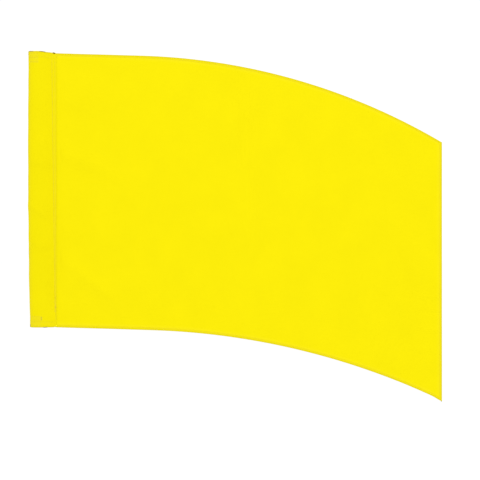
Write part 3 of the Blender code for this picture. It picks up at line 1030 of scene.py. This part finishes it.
def make_edge(fly, half, edge, first, last, finishes):
    """Hem and stitches along the upper or the lower edge of one half of the fly."""
    side, line = (1, fly.top_z) if edge == "top" else (-1, fly.bottom_z)
    start = max(first, HEM_START_X)
    xs = np.unique(np.concatenate([fly_columns(start, last), spaced(start, last, STRIP_STEP)]))
    place = (fly, xs, line(xs), (0.0, -side), hem_profile(HEM, HEM_DEPTH))
    strip = strip_piece(f"{half}_{edge}_hem_strip", *place, finishes["hem_cloth"])
    bend_fly(strip, half, "hem_cloth", f"{half}_{edge}_hem", f"inner_{edge}_hem")
    start = max(first, ROW_START_X)
    xs = spaced(start, last - (ROW_STOP if last == FLY_X else 0.0), STRIP_STEP)
    seed = EDGE_SEEDS[half][edge]
    rows = both_sides(fly, xs, line(xs) - side * HEM_ROW, seed)
    if edge == "bottom" and start < RUN_ON_END:
        xs = spaced(start, RUN_ON_END, STRIP_STEP)
        rows.append(stitch_row(fly, xs, np.full_like(xs, MOUTH_LINE), ON_FRONT, seed + 2))
    row = stitch_piece(f"{half}_{edge}_stitches", rows, finishes["pale_thread"])
    bend_fly(row, half, "pale_thread", f"{half}_{edge}_stitching", f"inner_{edge}_stitching")
    return [strip, row]


def make_fly(fly, finishes):
    spans = {"inner": (FLY_START_X, PARTING_X), "outer": (PARTING_X, FLY_X)}
    for half, (first, last) in spans.items():
        panel = fly_cloth(fly, f"{half}_fly_panel", first, last, finishes["fly_cloth"])
        bend_fly(panel, half, "fly_cloth", *PANEL_NODES[half])
        together = []
        for edge in ("top", "bottom"):
            together += make_edge(fly, half, edge, first, last, finishes)
        if half == "outer":
            together += make_fly_end(fly, finishes)
            together.append(make_corner_tail(fly, finishes["loose_thread"]))
        xs = spaced(first, last, CELL)
        low, high = float(fly.bottom_z(last)), float(fly.top_z(first))
        max(high, float(fly.top_z(last))) - low
        float((fly.top_z(xs) - fly.bottom_z(xs)).mean() * (last - first))


def make_fly_end(fly, finishes):
    """Hem and stitches of the straight fly end, tucked under the two long hems."""
    inside = HEM - END_TUCK
    low, high = float(fly.bottom_z(FLY_X)) + inside, float(fly.top_z(FLY_X)) - inside
    zs = spaced(low, high, STRIP_STEP)
    profile = hem_profile(HEM, HEM_DEPTH - END_THINNING)
    place = (fly, np.full_like(zs, FLY_X), zs, (-1.0, 0.0), profile)
    strip = strip_piece("fly_end_hem_strip", *place, finishes["hem_cloth"])
    zs = spaced(low - HEM + HEM_ROW, high + HEM - HEM_ROW, STRIP_STEP)
    rows = both_sides(fly, np.full_like(zs, FLY_X - HEM_ROW), zs, END_SEED)
    row = stitch_piece("fly_end_stitches", rows, finishes["pale_thread"])
    return [
        attach(strip, "outer_fly", "hem_cloth", "fly_end_hem"),
        attach(row, "outer_fly", "pale_thread", "fly_end_stitching"),
    ]


def make_corner_tail(fly, brown):
    """Dark tail of thread that hangs from the fly end's lower corner."""
    inset, run, rise, droop = TAIL
    share = np.linspace(0, 1, TAIL_POINTS)
    xs = FLY_X - inset + run * share
    zs = fly.bottom_z(FLY_X) + rise * (1 - share) - droop * share**2
    path = np.stack([xs, np.full_like(xs, -PLY), zs], -1)
    threads = [strand(path - k * TAIL_OFFSET) for k in range(TAIL_THREADS)]
    tail = stitch_piece("corner_thread_tail", threads, brown)
    return attach(tail, "outer_fly", "dark_thread")


def sleeve_turns():
    """turn of the tube's columns: closer together at the fold, the seam and the allowance."""
    inside = np.sin(np.linspace(0, math.pi / 2, SLEEVE_COLUMNS[0]))
    outside = np.linspace(1, 1 + ALLOWANCE_TURN, SLEEVE_COLUMNS[1])[1:]
    half = np.concatenate([inside, outside])
    return np.concatenate([-half[::-1], half[1:]])


def sleeve_shade(sleeve, us, vs, end):
    """Where the sleeve's painted shade and painted light show, from how far each point is from its
    nearer mouth.
    """
    x = sleeve.section(us, vs)[..., 0]
    from_fold = x - sleeve.fold_x(vs)
    # Painted shade over the mouth hems and the seam allowance, where plies stack
    hem_ply_shade = fading(end - MOUTH_HEM, *MOUTH_PLY_SHADE)
    allowance_ply_shade = fading(sleeve.row_x(vs) - x, *ALLOWANCE_PLY_SHADE)
    # Painted rim shade at the mouths and along the hoist fold, and a painted shade line at the mouth
    # hem's inner edge
    rim_shading = rim_shade_share(np.minimum(end, 2 * from_fold + FOLD_RIM_SHADE_START))
    return {
        "plies": np.maximum(hem_ply_shade, allowance_ply_shade),
        # Painted shade over the grip tabs and painted light along the pressed fold
        "worn": TAB_SHADE_SHARE * sleeve.over_tab(us, vs) + near(from_fold, *FOLD_LIGHT_STREAK),
        "rim": rim_shading + near(end, *MOUTH_SHADE_STREAK),
    }


def make_sleeve(sleeve, finishes):
    turns = sleeve_turns()
    inset = np.array(SLEEVE_ROWS)
    share = np.linspace(0, 1, math.ceil(HOIST / SLEEVE_CELL))
    lows, highs = sleeve.rim_z(turns, -1)[:, None], sleeve.rim_z(turns, 1)[:, None]
    start, stop = lows + inset[-1] + SLEEVE_ROW_GAP, highs - inset[-1] - SLEEVE_ROW_GAP
    vs = np.concatenate([lows + inset, start + (stop - start) * share, highs - inset[::-1]], axis=1)
    us = np.repeat(turns[:, None], vs.shape[1], axis=1)
    shade = sleeve_shade(sleeve, us, vs, np.minimum(vs - lows, highs - vs))
    tube = sheet_piece("sleeve_tube", sleeve, us, vs, finishes["sleeve_cloth"], shade)
    attach(tube, "sleeve", "sleeve_cloth", "pole_sleeve")
    together = make_mouth(sleeve, "bottom", -1, finishes) + make_mouth(sleeve, "top", 1, finishes)
    together += make_seam_rows(sleeve, finishes) + make_tacks(sleeve, finishes)


def make_mouth(sleeve, name, end, finishes):
    """Turned hem, grip tab and stitches at one end of the sleeve."""
    turns = np.linspace(-MOUTH_TURN, MOUTH_TURN, MOUTH_STATIONS)
    rims = sleeve.rim_z(turns, end)
    place = (sleeve, turns, rims, (0.0, -end), hem_profile(MOUTH_HEM, MOUTH_HEM_DEPTH))
    band = strip_piece(f"{name}_mouth_band", *place, finishes["hem_cloth"])
    attach(band, "sleeve", "hem_cloth", f"{name}_mouth_hem")
    across = np.linspace(-TAB_TURNS[1], -TAB_TURNS[0], TAB_STEPS)
    down = np.linspace(MOUTH_HEM + TAB_GAP, 2 * MOUTH_HEM, TAB_STEPS)
    us = np.repeat(across[:, None], TAB_STEPS, axis=1)
    place = (sleeve, us, sleeve.rim_z(us[:, :1], end) - end * down)
    layer = {"depth": PLY / 2 + TAB_DEPTH, "thickness": TAB_THICKNESS}
    tab = sheet_piece(f"{name}_grip_webbing", *place, finishes["tab_webbing"], **layer)
    attach(tab, "sleeve", "tab_webbing", f"{name}_grip_tab")
    row = stitch_row(sleeve, turns, rims - end * MOUTH_ROW, ON_FRONT, MOUTH_SEED + end)
    hem_row = stitch_piece(f"{name}_mouth_stitches", [row], finishes["pale_thread"])
    attach(hem_row, "sleeve", "pale_thread", f"{name}_mouth_stitching")
    us = np.linspace(across[0] + TAB_ROW_INSET, across[-1] - TAB_ROW_INSET, TAB_ROW_STEPS)
    rims = sleeve.rim_z(us, end)
    rows = [
        stitch_row(sleeve, us, rims - end * drop, ON_FRONT, TAB_SEED + number + end)
        for number, drop in enumerate(TAB_ROWS)
    ]
    thread = finishes["seam_thread" if end > 0 else "pale_thread"]
    box = stitch_piece(f"{name}_tab_stitches", rows, thread)
    attach(box, "sleeve", "pale_thread", f"{name}_tab_stitching")
    return [band, tab, hem_row, box]


def make_seam_rows(sleeve, finishes):
    """The two rows that close the sleeve, front and back; the strong one is partly sewn twice."""
    zs = spaced(*BACK_STITCHED_Z, SEAM_STEP)
    us = sleeve.turn_of(sleeve.row_x(zs) + BACK_STITCH_SHIFT, zs, -1)
    again = [stitch_row(sleeve, us, zs, ON_FRONT, BACK_STITCH_SEED)]
    specs = (
        ("seam", sleeve.row_x, SEAM_ROW_START, SEAM_THREAD_RADIUS, again),
        ("seam_edge", sleeve.edge_row_x, SEAM_EDGE_ROW_START, THREAD_RADIUS, []),
    )
    pieces = []
    for (name, row_x, low, radius, more), seed in zip(specs, SEAM_SEEDS):
        zs = spaced(low, HOIST - SEAM_ROW_MARGIN, SEAM_STEP)
        rows = []
        for side in (-1, 1):
            us = sleeve.turn_of(row_x(zs), zs, side)
            rows.append(stitch_row(sleeve, us, zs, ON_FRONT, seed + side, radius))
        piece = stitch_piece(f"{name}_stitches", rows + more, finishes["seam_thread"])
        pieces.append(attach(piece, "sleeve", "pale_thread", f"{name}_stitching"))
    return pieces


def make_tacks(sleeve, finishes):
    """The knot at the seam's lower end, the tack at the lower tab's corner and the loose ends."""
    specs = (
        ("seam_knot", "seam_back_tack", "pale_thread", "seam_thread", SEAM_KNOT, sleeve.row_x),
        ("tab_tack", "tab_bar_tack", "dark_thread", "dark_thread", TAB_TACK, np.zeros_like),
    )
    pieces = []
    for (name, node, slot, thread, tack, start_x), seed in zip(specs, TACK_SEEDS):
        heights, shift, half_width, spacing = tack
        zs = np.array(heights)
        us = sleeve.turn_of(start_x(zs) + shift, zs, -1)
        rows = bar_tack(sleeve, us, zs, half_width, spacing, seed)
        piece = stitch_piece(name, rows, finishes[thread])
        pieces.append(attach(piece, "sleeve", slot, node))
    threads = loose_ends(sleeve) + [thread_knot(sleeve)]
    ends = stitch_piece("loose_thread_ends", threads, finishes["loose_thread"])
    return pieces + [attach(ends, "sleeve", "dark_thread")]


def strand(points):
    """Points, faces and UVs of one round thread along a path."""
    run = unit(np.gradient(points, axis=0))
    aside = unit(np.cross(run, ACROSS_THREADS))
    verts = points[:, None] + THREAD_END_RADIUS * thread_rings(aside, np.cross(run, aside))
    uv = np.broadcast_arrays(lengths_along(points)[:, None], THREAD_END_RADIUS * THREAD_ANGLES)
    return verts.reshape(-1, 3), tube_faces(len(points)), np.stack(uv, -1).reshape(-1, 2)


def loose_ends(sleeve):
    """Dark thread ends at the rims of the sleeve, lying on its front ply."""
    draw = np.random.default_rng(LOOK_SEED)
    share = np.linspace(0, 1, THREAD_POINTS)
    threads = []
    for end, start_x, end_x, start_drop, end_drop in THREAD_ENDS:
        drops = start_drop + (end_drop - start_drop) * share
        nearer = HOIST if end > 0 else 0.0
        turns = sleeve.turn_of(start_x + (end_x - start_x) * share, nearer - end * drops, -1)
        points, normals = sleeve.at(turns, sleeve.rim_z(turns, end) - end * drops)
        for number in range(THREAD_END_STRANDS):
            rates = draw.uniform(*THREAD_WAVES, 2) * 2 * math.pi
            phases = draw.uniform(0, 2 * math.pi, 2)
            out, across = np.sin(rates[:, None] * share + phases[:, None])
            path = points + normals * (PLY / 2 + THREAD_END_RADIUS * (1 + STRAND_LIFT * number))
            path[:, 1] -= THREAD_WANDER * (1 + out) / 2
            path[:, 0 if start_x == end_x else 2] += THREAD_WANDER * across
            first, last = sorted(draw.integers(0, THREAD_TRIM, 2))
            threads.append(strand(path[first : len(path) - last]))
    return threads


def thread_knot(sleeve):
    """Tangle of the same thread at the upper rim."""
    x, drop, half_width, half_height = KNOT
    turn = sleeve.turn_of(np.array([x]), HOIST, -1)
    middle, normal = sleeve.at(turn, sleeve.rim_z(turn, 1) - drop)
    t = np.linspace(0, 2 * math.pi, KNOT_POINTS)
    swing = half_width * waves(t, KNOT_SWING)
    out, depth, turns = KNOT_DEPTH
    lift = PLY / 2 + THREAD_END_RADIUS * (out + depth * np.cos(turns * t))
    path = middle + normal * lift[:, None]
    path[:, 0] += swing
    path[:, 2] += half_height * waves(t, KNOT_RISE) - KNOT_LEAN * swing
    return strand(path)


def make_finishes():
    finishes = {"tab_webbing": webbing_finish("tab_webbing_finish", *WEBBING_COLOURS)}
    for table, make in ((CLOTH_COLOURS, cloth_finish), (THREAD_COLOURS, thread_finish)):
        for name, colours in table.items():
            finishes[name] = make(f"{name}_finish", *colours)
    return finishes


def add_area_light(name, place, power):
    lamp = bpy.data.lights.new(name, "AREA")
    lamp.shape = "SQUARE"
    lamp.size = LIGHT_SIZE
    lamp.energy = power
    item = add_object(name, lamp)
    item.location = place
    aim = Vector(LIGHT_TARGET) - Vector(place)
    item.rotation_euler = aim.to_track_quat("-Z", "Y").to_euler()


def make_studio():
    """White floor and surroundings, one large soft light in front and one behind."""
    scene = bpy.context.scene
    scene.view_settings.view_transform = "Standard"
    world = bpy.data.worlds.new("Studio")
    world.use_nodes = True
    background = world.node_tree.nodes["Background"]
    background.inputs["Color"].default_value = (1.0, 1.0, 1.0, 1.0)
    background.inputs["Strength"].default_value = WORLD_STRENGTH
    scene.world = world
    mesh = bpy.data.meshes.new("studio_floor")
    corners = [(FLOOR_HALF * x, FLOOR_HALF * y, FLOOR_LEVEL) for x, y in FLOOR_CORNERS]
    mesh.from_pydata(corners, [], [(0, 1, 2, 3)])
    paper = bpy.data.materials.new("StudioPaper")
    paper.use_nodes = True
    shader = paper.node_tree.nodes["Principled BSDF"]
    shader.inputs["Base Color"].default_value = (*(FLOOR_SHADE,) * 3, 1.0)
    shader.inputs["Roughness"].default_value = 1.0
    shader.inputs["Specular IOR Level"].default_value = 0.0
    mesh.materials.append(paper)
    add_object("studio_floor", mesh)
    for name, (place, power) in LIGHTS.items():
        add_area_light(name, place, power)


def make_camera():
    camera = bpy.data.cameras.new("camera")
    camera.lens = CAMERA_LENS
    camera.sensor_width = CAMERA_SENSOR
    item = add_object("camera", camera)
    item.location = CAMERA_PLACE
    item.rotation_euler = (math.pi / 2, 0.0, 0.0)
    bpy.context.scene.camera = item


def main():
    make_studio()
    make_camera()
    finishes = make_finishes()
    fly = Fly()
    simulate_drape(fly)
    make_sleeve(Sleeve(), finishes)
    make_fly(fly, finishes)


main()
